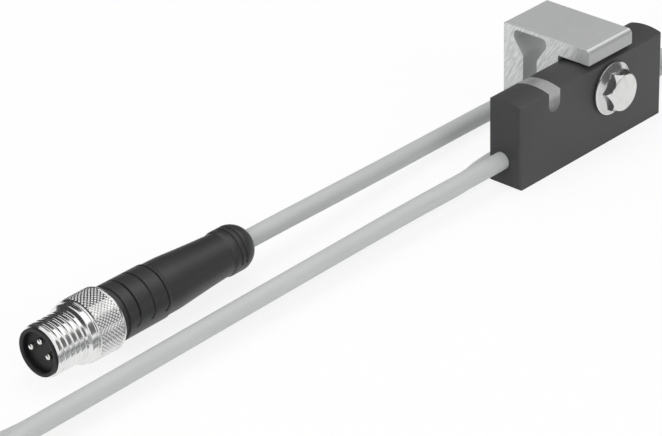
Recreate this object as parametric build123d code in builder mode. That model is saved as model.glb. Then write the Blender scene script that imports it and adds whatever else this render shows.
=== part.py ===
from build123d import *

import os
from math import cos, pi, radians, sin, tan

# A miniature proximity switch for a rail or slot: a moulded housing with the electronics potted
# inside, a rail clamp held on by a flange screw, and a cable that ends in a three-pin M8 plug.
# Millimetres. The origin is the centre of the housing's underside, the sensing face.
# +X runs along the housing, away from the cable; +Y is the clamp's side; +Z is up.

# Fits
seat_gap = 0.02  # round a piece that is pushed into its seat
running_gap = 0.05  # round a piece that turns

# Housing
housing_length = 35.0
housing_width = 6.2
housing_height = 13.9  # to the foot of the crown
crown_rise = 0.5
side_wall = 0.8
end_wall = 1.2
roof = 1.0
corner_radius = 0.45
cover_thickness = 0.8

# Light guide in the top
guide_from_end = 8.15  # from the cable end to the guide's middle
guide_width = 2.7
tongue_drop = 3.4  # from the crown's foot to the tongue's lower end
tongue_depth = 0.5
stem_length = 2.0
stem_width = 2.6

# Flange screw, M4
screw_from_end = 22.0
screw_drop = 4.55  # from the crown's foot to the screw's axis
screw_radius = 2.0
screw_length = 10.0
screw_flats = 6.0
screw_turn = -7.0  # how far the hexagon's corner stands off the level, in degrees
head_height = 2.9
head_face_radius = 2.95
flange_radius = 4.35
flange_undercut = 0.25
flange_rim = 0.55
flange_rise = 1.2
bush_wall = 0.7
bush_bore_radius = 2.15
boss_wall = 0.75

# Rail clamp
clamp_length = 10.6
clamp_gap = 0.45  # between the crown and the clamp's flange
clamp_flange = 2.55
clamp_rear = 13.95
clamp_bottom = 3.5
nose_radius = 0.8
slot_y = 8.68
slot_neck = 2.7
slot_head = 6.4
slot_roof = 0.65
slot_shoulder_depth = 2.1  # both depths are from the clamp's top
slot_throat_depth = 4.7

# Cable
cable_radius = 1.45
cable_y = 0.6
cable_z = 4.1
cable_inside = 4.0  # from the housing's end face to the jacket's inner end
core_radius = 0.4
core_spread = 0.5
ring_wall = 0.2
ring_length = 1.8

# Circuit board and what is on it
board_thickness = 0.8
board_margin = 0.4
board_lead = 0.7  # from the jacket's inner end to the board
board_tail = 2.0  # from the board to the housing's far end
led_size = (1.6, 0.8, 0.8)
led_drop = 2.3
core_pitch = 1.3
core_tail = 2.2
core_bend_radius = 0.9

# Plug: its axis lies along X, and stations are measured from its front face
plug_x = -103.8
plug_y = 12.25
nut_radius = 4.9
lip_radius = 3.65
lip_length = 0.38
lip_rounding = 0.3
recess_radius = 3.05
recess_depth = 0.9
stem_radius = 3.2
carrier_length = 17.0
anchor_radius = 3.6
anchor_start = 14.9
anchor_length = 1.0
thread_radius = 4.0
thread_chamfer = 0.25
thread_end = 6.3
barrel_start = 7.65
barrel_end = 12.25
nut_end = 12.85
rear_bevel = 0.45
pin_radius = 0.5
pin_circle = 1.72
pin_tip = 0.15
pin_turn = 6.0

# Boot of the plug
boot_neck_radius = 4.05
boot_neck_length = 1.1
boot_front_radius = 4.32
boot_step = 22.25
boot_step_radius = 4.27
boot_taper_radius = 4.12
boot_shoulder = 25.0
boot_waist = 35.3
boot_waist_radius = 3.4
collar_start = 35.9
collar_radius = 3.58
collar_end = 39.0
boot_bevel = 40.6
boot_bevel_radius = 3.1
boot_end = 41.4
boot_end_radius = 2.0
groove_stations = (16.0, 18.85, 21.75)
collar_groove_stations = (37.5, 38.5)
groove_width = 0.28
groove_depth = 0.16
groove_dip = 8.0  # degrees that a groove runs on below each side
cable_in_boot = 6.6

# Values that follow from those above
half_length = housing_length / 2
half_width = housing_width / 2
crown_top = housing_height + crown_rise
cavity_length = housing_length - 2 * end_wall
cavity_width = housing_width - 2 * side_wall
cavity_top = housing_height - roof
tongue_bottom = housing_height - tongue_drop
screw_height = housing_height - screw_drop
clamp_top = crown_top + clamp_gap + clamp_flange
slot_shoulder = clamp_top - slot_shoulder_depth
slot_throat = clamp_top - slot_throat_depth
guide_x = guide_from_end - half_length
screw_x = screw_from_end - half_length
bush_radius = bush_bore_radius + bush_wall
boss_radius = bush_radius + boss_wall
board_front = cavity_width / 2 - board_thickness
board_end = half_length - board_tail
led_height = housing_height - led_drop
plug_z = nut_radius
plug_axis = Axis((plug_x, plug_y, plug_z), (1, 0, 0))
screw_axis = Axis((screw_x, 0, screw_height), (0, 1, 0))

# Route of the cable's centre line, from the housing to the plug. It lies loose: past the picture
# it turns back beside itself, passes under the clamp, turns once more and comes to the plug.
inner_end = -half_length + cable_inside
board_start = inner_end + board_lead
boot_mouth = plug_x + boot_end
route = [
    (inner_end, cable_y, cable_z),
    (-23.0, cable_y, cable_z),
    (-38.0, 0.98, 3.95),
    (-58.0, 0.90, 3.75),
    (-81.0, 0.69, 3.60),
    (-105.0, 0.44, 3.42),
    (-124.9, 0.40, 3.30),
    (-133.1, -11.5, 2.7),
    (-145.7, -13.0, 2.1),
    (-155.1, -4.6, 1.6),
    (-155.1, 8.0, 1.45),
    (-145.7, 16.3, 1.45),
    (-133.1, 14.8, 1.45),
    (-124.9, 2.80, 1.45),
    (-102.0, 2.95, 1.45),
    (-76.0, 3.40, 1.45),
    (-50.0, 3.80, 1.45),
    (-33.0, 3.95, 1.45),
    (-22.0, 3.70, 1.45),
    (-16.5, 4.95, 1.45),
    (-6.0, 4.80, 1.45),
    (12.0, 4.70, 1.45),
    (34.6, 5.2, 1.45),
    (42.8, 15.0, 1.45),
    (54.4, 15.9, 1.45),
    (63.3, 8.5, 1.45),
    (64.2, -3.1, 1.45),
    (56.8, -11.8, 1.45),
    (45.2, -12.9, 1.45),
    (32.0, -1.8, 3.6),
    (21.5, 7.0, 5.4),
    (12.0, 14.9, 1.7),
    (1.0, 16.15, 1.5),
    (-14.0, 15.3, 2.2),
    (-30.0, 14.05, 3.2),
    (-44.0, 12.95, 4.2),
    (-56.5, plug_y, plug_z),
    (boot_mouth - cable_in_boot, plug_y, plug_z),
]


def finish(piece, name):
    """Label a finished piece and write it under its own name."""
    piece.part.label = name
    export_step(piece.part, f"parts/{name}.step")


def corner_radii(points, share=0.45):
    """Radius at each inner point of a route: as large as its two runs allow."""
    radii = []
    for before, corner, after in zip(points, points[1:], points[2:]):
        arriving = Vector(*corner) - Vector(*before)
        leaving = Vector(*after) - Vector(*corner)
        turn = arriving.get_angle(leaving)
        radii.append(share * min(arriving.length, leaving.length) / tan(radians(turn / 2)))
    return radii


def on_plug(station):
    """Plane square to the plug's axis, at a distance from its front face, with local x along Y."""
    return Plane(origin=(plug_x + station, plug_y, plug_z), x_dir=(0, 1, 0), z_dir=(1, 0, 0))


def along_plug(angle=90.0):
    """Plane through the plug's axis: local x along the axis, local y outwards at the angle."""
    turn = radians(angle)
    return Plane(origin=(plug_x, plug_y, plug_z), x_dir=(1, 0, 0), z_dir=(0, -sin(turn), cos(turn)))


os.makedirs("parts", exist_ok=True)

# Light guide: a strip across the crown, a tongue down the front and a stem to the lamp
stem_bottom = led_height + led_size[2] / 2 + 0.1
with BuildPart() as light_guide:
    with BuildSketch(Plane.YZ.offset(guide_x - guide_width / 2)):
        with BuildLine():
            strip = Polyline(
                (-half_width, housing_height),
                (-half_width, cavity_top),
                (half_width, cavity_top),
                (half_width, housing_height),
            )
            ThreePointArc(strip @ 1, (0, crown_top), strip @ 0)
        make_face()
    extrude(amount=guide_width)
    with BuildSketch(Plane.XZ.offset(half_width)):
        tongue_centre = tongue_bottom + guide_width / 2
        with Locations((guide_x, tongue_centre)):
            Circle(guide_width / 2)
        with Locations((guide_x, (tongue_centre + cavity_top) / 2)):
            Rectangle(guide_width, cavity_top - tongue_centre)
    extrude(amount=-tongue_depth)
    with BuildSketch(Plane.XY.offset(stem_bottom)):
        with Locations((guide_x, board_front - 0.1 - stem_width / 2)):
            Rectangle(stem_length, stem_width)
    extrude(amount=cavity_top - stem_bottom)
finish(light_guide, "light_guide")

# Housing: a crowned shell, open below, with a boss for the screw and a seat for the light guide
with BuildPart() as housing:
    with BuildSketch(Plane.YZ.offset(-half_length)):
        with BuildLine():
            sides = Polyline(
                (-half_width, housing_height),
                (-half_width, 0),
                (half_width, 0),
                (half_width, housing_height),
            )
            ThreePointArc(sides @ 1, (0, crown_top), sides @ 0)
        make_face()
    extrude(amount=housing_length)
    end_corners = housing.edges().filter_by(Axis.Z) + housing.edges().group_by(Axis.Z)[0].filter_by(Axis.Y)
    fillet(end_corners, corner_radius)
    with BuildSketch():
        Rectangle(cavity_length, cavity_width)
    extrude(amount=cavity_top, mode=Mode.SUBTRACT)
    with BuildSketch(Plane.XZ.offset(-cavity_width / 2)):
        with Locations((screw_x, screw_height)):
            Circle(boss_radius)
    extrude(amount=cavity_width)
    with BuildSketch(Plane.XZ.offset(-half_width)):
        with Locations((screw_x, screw_height)):
            Circle(bush_radius)
    extrude(amount=housing_width, mode=Mode.SUBTRACT)
    with BuildSketch(Plane.YZ.offset(-half_length)):
        with Locations((cable_y, cable_z)):
            Circle(cable_radius + seat_gap)
    extrude(amount=end_wall, mode=Mode.SUBTRACT)
    add(light_guide.part, mode=Mode.SUBTRACT)
finish(housing, "housing")

# Cover that closes the underside, bonded in flush
with BuildPart() as base_cover:
    with BuildSketch():
        Rectangle(cavity_length, cavity_width)
    extrude(amount=cover_thickness)
finish(base_cover, "base_cover")

# Steel bush moulded into the housing, which takes the screw's force
with BuildPart() as screw_bush:
    with BuildSketch(Plane.XZ.offset(-half_width)):
        with Locations((screw_x, screw_height)):
            Circle(bush_radius)
            Circle(bush_bore_radius, mode=Mode.SUBTRACT)
    extrude(amount=housing_width)
finish(screw_bush, "screw_bush")

# Circuit board on its long edge against the rear wall, stepped down to pass under the boss
board_bottom = cover_thickness + board_margin
board_top = cavity_top - board_margin
board_step_x = screw_x - boss_radius - board_margin
board_step_z = screw_height - boss_radius - board_margin
with BuildPart() as circuit_board:
    with BuildSketch(Plane.XZ.offset(-cavity_width / 2)):
        with BuildLine():
            Polyline(
                (board_start, board_bottom),
                (board_end, board_bottom),
                (board_end, board_step_z),
                (board_step_x, board_step_z),
                (board_step_x, board_top),
                (board_start, board_top),
                close=True,
            )
        make_face()
    extrude(amount=board_thickness)
finish(circuit_board, "circuit_board")


def on_board():
    """Plane of the board's free face: local x along the board, local y up, facing the front."""
    return Plane.XZ.offset(-board_front)


def block_on_board(x, z, length, depth, height):
    """A plain chip body standing on the board's free face."""
    with BuildPart() as body:
        with BuildSketch(on_board()):
            with Locations((x, z)):
                Rectangle(length, height)
        extrude(amount=depth)
    return body


def chip_on_board(x, z, lower_legs, upper_legs, length=2.9, depth=1.1, height=1.5):
    """A moulded chip with flat legs along its lower and upper edge."""
    leg_pitch = 0.95
    with BuildPart() as body:
        with BuildSketch(on_board()):
            with Locations((x, z)):
                Rectangle(length, height)
        extrude(amount=depth)
        for legs, side in ((lower_legs, -1), (upper_legs, 1)):
            with BuildSketch(on_board()):
                with Locations((x, z + side * (height / 2 + 0.25))):
                    with GridLocations(leg_pitch * (3 - legs + 1), 0, legs, 1):
                        Rectangle(0.4, 0.7)
            extrude(amount=0.2)
    return body


# Electronics on the board's free face
status_led = block_on_board(guide_x, led_height, led_size[0], led_size[1], led_size[2])
finish(status_led, "status_led")

capacitor = block_on_board(board_start + 11.2, housing_height - 7.3, 1.6, 0.8, 0.8)
finish(capacitor, "capacitor")

protection_diode = block_on_board(board_start + 3.8, housing_height - 5.3, 1.7, 1.0, 1.25)
finish(protection_diode, "protection_diode")

output_chip = chip_on_board(board_start + 8.4, housing_height - 4.9, 3, 2)
finish(output_chip, "output_chip")

sensor_chip = chip_on_board(board_end - 4.5, 3.2, 2, 1, height=1.3)
finish(sensor_chip, "sensor_chip")

# Three equal chip resistors in a row
resistors = []
for number in (1, 2, 3):
    resistor = block_on_board(board_start + 4.6 + 2.0 * number, 3.6, 1.0, 0.35, 0.5)
    finish(resistor, f"resistor_{number}")
    resistors.append(resistor)

# Cable: the route's runs joined by tangent arcs
radii = corner_radii(route)
with BuildPart() as cable:
    with BuildLine():
        centre_line = FilletPolyline(*route, radius=radii)
    with BuildSketch(Plane(centre_line @ 0, z_dir=centre_line % 0)):
        Circle(cable_radius)
    sweep()
finish(cable, "cable")
cable_length = centre_line.length
print("cable radii", [round(radius, 1) for radius in radii], "smallest", round(min(radii), 2))
print("cable length", round(cable_length, 1), "volume", round(cable.part.volume, 1))
print("section times length", round(pi * cable_radius**2 * cable_length, 1))

# Crimped ring on the jacket behind the end wall
ring_start = -half_length + end_wall
with BuildPart() as strain_relief:
    with BuildSketch(Plane.YZ.offset(ring_start)):
        with Locations((cable_y, cable_z)):
            Circle(cable_radius + ring_wall)
            Circle(cable_radius, mode=Mode.SUBTRACT)
    extrude(amount=ring_length)
finish(strain_relief, "strain_relief")


def board_core(angle, row):
    """A stripped core from the jacket's end to its pad, one of three rows on the board."""
    start_y = cable_y + core_spread * cos(radians(angle))
    start_z = cable_z + core_spread * sin(radians(angle))
    pad_y = board_front - core_radius
    pad_z = cable_z + row * core_pitch
    points = [
        (inner_end, start_y, start_z),
        (inner_end + 0.6, start_y, start_z),
        (inner_end + 0.6 + core_tail, pad_y, pad_z),
        (inner_end + 0.6 + 2 * core_tail, pad_y, pad_z),
    ]
    with BuildPart() as core:
        with BuildLine():
            core_line = FilletPolyline(*points, radius=core_bend_radius)
        with BuildSketch(Plane(core_line @ 0, z_dir=core_line % 0)):
            Circle(core_radius)
        sweep()
    return core


# The three cores, fanned out to their pads
wire_brown = board_core(60, 1)
finish(wire_brown, "wire_brown")

wire_blue = board_core(300, -1)
finish(wire_blue, "wire_blue")

wire_black = board_core(180, 0)
finish(wire_black, "wire_black")

# Resin that fills the housing round all that it holds
inner_pieces = (
    light_guide,
    circuit_board,
    status_led,
    capacitor,
    protection_diode,
    output_chip,
    sensor_chip,
    *resistors,
    cable,
    strain_relief,
    wire_brown,
    wire_blue,
    wire_black,
)
with BuildPart() as potting:
    with BuildSketch(Plane.XY.offset(cover_thickness)):
        Rectangle(cavity_length, cavity_width)
    extrude(amount=cavity_top - cover_thickness)
    with BuildSketch(Plane.XZ.offset(-cavity_width / 2)):
        with Locations((screw_x, screw_height)):
            Circle(boss_radius)
    extrude(amount=cavity_width, mode=Mode.SUBTRACT)
    for piece in inner_pieces:
        add(piece.part, mode=Mode.SUBTRACT)
finish(potting, "potting")

# Rail clamp: an extruded section with a dovetail slot, sawn to length, over the top and behind
flange_bottom = crown_top + clamp_gap
with BuildPart() as clamp:
    with BuildSketch(Plane.YZ.offset(screw_x - clamp_length / 2)) as section:
        with BuildLine():
            Polyline(
                (-half_width, flange_bottom),
                (-half_width, clamp_top),
                (clamp_rear, clamp_top),
                (clamp_rear, clamp_bottom),
                (half_width, clamp_bottom),
                (half_width, flange_bottom),
                close=True,
            )
        make_face()
        front_corners = section.vertices().group_by(Axis.X)[0]
        fillet(front_corners.sort_by(Axis.Y)[-1], nose_radius)
        fillet(section.vertices().group_by(Axis.X)[0].sort_by(Axis.Y)[0], 0.2)
        fillet(section.vertices().group_by(Axis.X)[-1], 0.25)
        with BuildSketch(mode=Mode.PRIVATE) as slot:
            with BuildLine():
                Polyline(
                    (slot_y - slot_neck / 2, clamp_bottom - 1),
                    (slot_y - slot_neck / 2, slot_throat),
                    (slot_y - slot_head / 2, slot_shoulder),
                    (slot_y - slot_head / 2, clamp_top - slot_roof),
                    (slot_y + slot_head / 2, clamp_top - slot_roof),
                    (slot_y + slot_head / 2, slot_shoulder),
                    (slot_y + slot_neck / 2, slot_throat),
                    (slot_y + slot_neck / 2, clamp_bottom - 1),
                    close=True,
                )
            make_face()
            fillet(slot.vertices().group_by(Axis.Y)[-1], 0.8)
            for level, bend in ((slot_shoulder, 0.5), (slot_throat, 1.2)):
                corners = slot.vertices().filter_by_position(Axis.Y, level - 0.01, level + 0.01)
                fillet(corners, bend)
        add(slot.sketch, mode=Mode.SUBTRACT)
    extrude(amount=clamp_length)
    with BuildSketch(Plane.XZ.offset(-slot_y)):
        with Locations((screw_x, screw_height)):
            Circle(screw_radius + seat_gap)
    extrude(amount=slot_y - half_width, mode=Mode.SUBTRACT)
finish(clamp, "clamp")

# Flange screw: a chamfered hexagon on a sloping flange, and its shank through to the clamp
head_top = half_width + head_height
with BuildPart() as clamp_screw:
    with BuildSketch(Plane.XZ.offset(half_width)):
        with Locations((screw_x, screw_height)):
            RegularPolygon(screw_flats / 2, 6, major_radius=False, rotation=screw_turn)
    extrude(amount=head_height)
    with BuildSketch(Plane(origin=(screw_x, 0, screw_height), x_dir=(1, 0, 0), z_dir=(0, 0, 1))):
        with BuildLine():
            Polyline(
                (0, -half_width),
                (screw_flats, -half_width),
                (screw_flats, -head_top + (screw_flats - head_face_radius) * tan(radians(30))),
                (head_face_radius, -head_top),
                (0, -head_top),
                close=True,
            )
        make_face()
    revolve(axis=screw_axis, mode=Mode.INTERSECT)
    with BuildSketch(Plane(origin=(screw_x, 0, screw_height), x_dir=(1, 0, 0), z_dir=(0, 0, 1))):
        with BuildLine():
            Polyline(
                (0, -half_width),
                (flange_radius - flange_undercut, -half_width),
                (flange_radius, -half_width - flange_undercut),
                (flange_radius, -half_width - flange_rim),
                (screw_flats / 2 + 0.2, -half_width - flange_rise),
                (0, -half_width - flange_rise),
                close=True,
            )
        make_face()
    revolve(axis=screw_axis)
    with BuildSketch(Plane.XZ.offset(half_width)):
        with Locations((screw_x, screw_height)):
            Circle(screw_radius)
    extrude(amount=-screw_length)
    tip_edges = clamp_screw.edges().filter_by(GeomType.CIRCLE).sort_by(Axis.Y)[-1]
    chamfer(tip_edges, 0.4)
finish(clamp_screw, "clamp_screw")

# Three contact pins with round tips, set in the carrier
pin_angles = {
    "contact_pin_1": 180 + pin_turn,
    "contact_pin_3": pin_turn,
    "contact_pin_4": 90 + pin_turn,
}
pins = {}
for pin_name, pin_angle in pin_angles.items():
    pin_place = (pin_circle * cos(radians(pin_angle)), pin_circle * sin(radians(pin_angle)))
    with BuildPart() as pin:
        with BuildSketch(on_plug(pin_tip)):
            with Locations(pin_place):
                Circle(pin_radius)
        extrude(amount=carrier_length - pin_tip)
        fillet(pin.edges().group_by(Axis.X)[0], pin_radius * 0.8)
    finish(pin, pin_name)
    pins[pin_name] = pin

# Contact carrier: lip in front of the nut, stem through it, anchor ring inside the boot
with BuildPart() as contact_carrier:
    with BuildSketch(along_plug()) as carrier_half:
        with BuildLine():
            Polyline(
                (0, recess_radius),
                (0, lip_radius),
                (lip_length, lip_radius),
                (lip_length, stem_radius),
                (anchor_start, stem_radius),
                (anchor_start, anchor_radius),
                (anchor_start + anchor_length, anchor_radius),
                (anchor_start + anchor_length, stem_radius),
                (carrier_length, stem_radius),
                (carrier_length, 0),
                (recess_depth, 0),
                (recess_depth, recess_radius),
                close=True,
            )
        make_face()
        lip_corner = carrier_half.vertices().group_by(Axis.X)[0].sort_by(Axis.Z)[-1]
        fillet(lip_corner, lip_rounding)
    revolve(axis=plug_axis)
    for pin in pins.values():
        add(pin.part, mode=Mode.SUBTRACT)
finish(contact_carrier, "contact_carrier")

# Coupling nut: outside thread and a crowned grip, free to turn on the carrier's stem
nut_start = lip_length + running_gap
nut_bore = stem_radius + running_gap
with BuildPart() as coupling_nut:
    with BuildSketch(along_plug()):
        with BuildLine():
            thread = Polyline(
                (nut_start, nut_bore),
                (nut_start, thread_radius - thread_chamfer),
                (nut_start + thread_chamfer, thread_radius),
                (thread_end, thread_radius),
            )
            shoulder = ThreePointArc(
                thread @ 1,
                ((thread_end + barrel_start) / 2 - 0.12, nut_radius - 0.27),
                (barrel_start, nut_radius),
            )
            Polyline(
                shoulder @ 1,
                (barrel_end, nut_radius),
                (nut_end, nut_radius - rear_bevel),
                (nut_end, nut_bore),
                (nut_start, nut_bore),
            )
        make_face()
    revolve(axis=plug_axis)
finish(coupling_nut, "coupling_nut")


def plug_core(pin_angle, core_angle):
    """A core from the cable's end in the boot to the rear of its pin."""
    cable_end = plug_x + boot_end - cable_in_boot
    pin_end = plug_x + carrier_length
    far_y = plug_y + core_spread * cos(radians(core_angle))
    far_z = plug_z + core_spread * sin(radians(core_angle))
    pin_y = plug_y + pin_circle * cos(radians(pin_angle))
    pin_z = plug_z + pin_circle * sin(radians(pin_angle))
    points = [
        (pin_end, pin_y, pin_z),
        (pin_end + 3, pin_y, pin_z),
        (cable_end - 6, far_y, far_z),
        (cable_end, far_y, far_z),
    ]
    with BuildPart() as core:
        with BuildLine():
            core_line = FilletPolyline(*points, radius=corner_radii(points))
        with BuildSketch(Plane(core_line @ 0, z_dir=core_line % 0)):
            Circle(core_radius)
        sweep()
    return core


# The same three cores at the plug's end of the cable
plug_wire_brown = plug_core(pin_angles["contact_pin_1"], 180)
finish(plug_wire_brown, "plug_wire_brown")

plug_wire_blue = plug_core(pin_angles["contact_pin_3"], 300)
finish(plug_wire_blue, "plug_wire_blue")

plug_wire_black = plug_core(pin_angles["contact_pin_4"], 60)
finish(plug_wire_black, "plug_wire_black")

# Boot: moulded round the carrier's anchor and the cable, with grip grooves over its upper half
boot_start = nut_end + running_gap
neck_end = boot_start + boot_neck_length
with BuildPart() as plug_boot:
    with BuildSketch(along_plug()) as boot_half:
        with BuildLine():
            Polyline(
                (boot_start, 0),
                (boot_start, boot_neck_radius),
                (neck_end, boot_neck_radius),
                (neck_end, boot_front_radius),
                (boot_step, boot_step_radius),
                (boot_step, boot_taper_radius),
                (boot_shoulder, boot_taper_radius - 0.05),
                (boot_waist, boot_waist_radius),
                (collar_start, collar_radius),
                (collar_end, collar_radius),
                (boot_bevel, boot_bevel_radius),
                (boot_end, boot_end_radius),
                (boot_end, 0),
                close=True,
            )
        make_face()
        bend_stations = (boot_bevel, collar_end, boot_shoulder)
        for station, bend in zip(bend_stations, (1.6, 1.2, 12.0)):
            at_station = plug_x + station
            bends = boot_half.vertices().filter_by_position(Axis.X, at_station - 0.01, at_station + 0.01)
            fillet(bends, bend)
    revolve(axis=plug_axis)
    for station in groove_stations + collar_groove_stations:
        surface = collar_radius if station > collar_start else boot_front_radius
        with BuildSketch(along_plug(-groove_dip)):
            with Locations((station, surface)):
                Rectangle(groove_width, 2 * groove_depth)
        revolve(axis=plug_axis, revolution_arc=180 + 2 * groove_dip, mode=Mode.SUBTRACT)
    with BuildSketch(on_plug(boot_end)):
        Circle(cable_radius + seat_gap)
    extrude(amount=-cable_in_boot, mode=Mode.SUBTRACT)
    for piece in (contact_carrier, *pins.values(), plug_wire_brown, plug_wire_blue, plug_wire_black):
        add(piece.part, mode=Mode.SUBTRACT)
finish(plug_boot, "plug_boot")
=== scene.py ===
"""Looks of a proximity switch with a rail clamp, a grey cable and a three-pin plug.

Lengths are in metres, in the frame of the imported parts: +X runs along the housing away from
the cable, +Y points to the clamp's side and +Z is up from the sensing face. Only the cable's
route and the sizes of the turned pieces are in millimetres.
"""

import logging
import math
from dataclasses import dataclass
from enum import Enum
from typing import Iterable, Sequence, Union

import bmesh
import bpy
from bpy.types import ID, Material, Mesh, NodeSocket, NodeTree, Object
from mathutils import Matrix, Vector


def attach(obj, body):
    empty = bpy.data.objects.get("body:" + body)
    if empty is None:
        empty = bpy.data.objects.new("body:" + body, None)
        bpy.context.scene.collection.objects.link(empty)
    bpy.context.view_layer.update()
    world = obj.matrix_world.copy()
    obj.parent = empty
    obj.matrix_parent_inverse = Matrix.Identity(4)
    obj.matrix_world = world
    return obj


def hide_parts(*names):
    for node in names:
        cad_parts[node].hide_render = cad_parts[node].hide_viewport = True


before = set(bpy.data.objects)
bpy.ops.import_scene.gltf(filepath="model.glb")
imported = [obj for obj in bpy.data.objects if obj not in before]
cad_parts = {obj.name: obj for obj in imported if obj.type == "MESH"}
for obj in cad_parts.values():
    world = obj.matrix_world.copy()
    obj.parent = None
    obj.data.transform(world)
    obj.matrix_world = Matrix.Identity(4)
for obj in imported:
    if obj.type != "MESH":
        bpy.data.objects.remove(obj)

LOG = logging.getLogger("switch")
MM = 0.001
Colour = tuple[float, float, float]
Place = tuple[float, float, float]
Profile = list[tuple[float, float]]

CORES = {"brown": (0.16, 0.06, 0.02), "blue": (0.02, 0.08, 0.36), "black": (0.02, 0.02, 0.02)}

# The cable's centre line in millimetres, from inside the housing to inside the boot.
ROUTE_MM = [
    (-13.5, 0.60, 4.1), (-23.0, 0.60, 4.1), (-38.0, 0.98, 3.95), (-58.0, 0.90, 3.75),
    (-81.0, 0.69, 3.60), (-105.0, 0.44, 3.42), (-124.9, 0.40, 3.30), (-133.1, -11.5, 2.7),
    (-145.7, -13.0, 2.1), (-155.1, -4.6, 1.6), (-155.1, 8.0, 1.45), (-145.7, 16.3, 1.45),
    (-133.1, 14.8, 1.45), (-124.9, 2.80, 1.45), (-102.0, 2.95, 1.45), (-76.0, 3.40, 1.45),
    (-50.0, 3.80, 1.45), (-33.0, 3.95, 1.45), (-22.0, 3.70, 1.45), (-16.5, 4.95, 1.45),
    (-6.0, 4.80, 1.45), (12.0, 4.70, 1.45), (34.6, 5.2, 1.45), (42.8, 15.0, 1.45),
    (54.4, 15.9, 1.45), (63.3, 8.5, 1.45), (64.2, -3.1, 1.45), (56.8, -11.8, 1.45),
    (45.2, -12.9, 1.45), (32.0, -1.8, 3.6), (21.5, 7.0, 5.4), (12.0, 14.9, 1.7),
    (1.0, 16.15, 1.5), (-14.0, 15.3, 2.2), (-30.0, 14.05, 3.2), (-44.0, 12.95, 4.2),
    (-56.5, 12.25, 4.9), (-69.0, 12.25, 4.9),
]


class Turning(Enum):
    """Axis of a turned piece, and the direction from which its divisions are counted."""

    ALONG_X = (Vector((1, 0, 0)), Vector((0, 1, 0)))
    AGAINST_Y = (Vector((0, -1, 0)), Vector((1, 0, 0)))


class Roundings(Enum):
    """How wide a worn or moulded edge is, in metres."""

    FINE = 0.06 * MM
    SMALL = 0.12 * MM


class Wire:
    """One node output, with Python arithmetic that adds Math nodes to its tree."""

    def __init__(self, graph: "Graph", socket: NodeSocket) -> None:
        """Keep the tree and the output."""
        self.graph = graph
        self.socket = socket

    def out(self, name: str) -> "Wire":
        """Another output of the same node."""
        return Wire(self.graph, self.socket.node.outputs[name])

    def math(self, operation: str, *others: "Value") -> "Wire":
        """Add one Math node whose first input is this."""
        return self.graph.math(operation, self, *others)

    def __add__(self, other: "Value") -> "Wire":
        """Sum, with a number on either side."""
        return self.math("ADD", other)

    def __sub__(self, other: "Value") -> "Wire":
        """Difference."""
        return self.math("SUBTRACT", other)

    def __rsub__(self, other: "Value") -> "Wire":
        """Difference from a number on the left."""
        return self.graph.math("SUBTRACT", other, self)

    def __mul__(self, other: "Value") -> "Wire":
        """Product, with a number on either side."""
        return self.math("MULTIPLY", other)

    def __truediv__(self, other: "Value") -> "Wire":
        """Quotient."""
        return self.math("DIVIDE", other)

    def __gt__(self, other: "Value") -> "Wire":
        """One where this is greater, else zero."""
        return self.math("GREATER_THAN", other)

    def __lt__(self, other: "Value") -> "Wire":
        """One where this is less, else zero."""
        return self.math("LESS_THAN", other)

    def __neg__(self) -> "Wire":
        """The same size with the other sign."""
        return self.math("MULTIPLY", -1.0)

    def __abs__(self) -> "Wire":
        """Size without sign."""
        return self.math("ABSOLUTE")

    __radd__ = __add__
    __rmul__ = __mul__

    def smaller(self, other: "Value") -> "Wire":
        """The smaller of two values."""
        return self.math("MINIMUM", other)

    def larger(self, other: "Value") -> "Wire":
        """The larger of two values."""
        return self.math("MAXIMUM", other)

    def held(self) -> "Wire":
        """Held between 0 and 1."""
        return self.smaller(1.0).larger(0.0)

    def ridge(self) -> "Wire":
        """Triangle wave of period one that is 1 at whole numbers and 0 half-way between."""
        return abs(self.math("FRACT") * 2 - 1)

    def step(self, low: float, high: float) -> "Wire":
        """Smooth rise from 0 at low to 1 at high."""
        inputs = {"Value": self, "From Min": low, "From Max": high}
        return self.graph.add("ShaderNodeMapRange", {"interpolation_type": "SMOOTHSTEP"}, inputs)


Value = Union[float, Sequence[float], Wire]


def from_axis(first: Wire, second: Wire) -> Wire:
    """Distance from an axis, from the two distances square to it."""
    return (first * first + second * second).math("SQRT")


def opaque(colour: Colour | Wire) -> Value:
    """A colour with its alpha, or a Wire as it is."""
    return colour if isinstance(colour, Wire) else (*colour, 1)


def scaled(colour: Colour, factor: float) -> Colour:
    """A colour made lighter or darker."""
    return tuple(min(1.0, part * factor) for part in colour)


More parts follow.
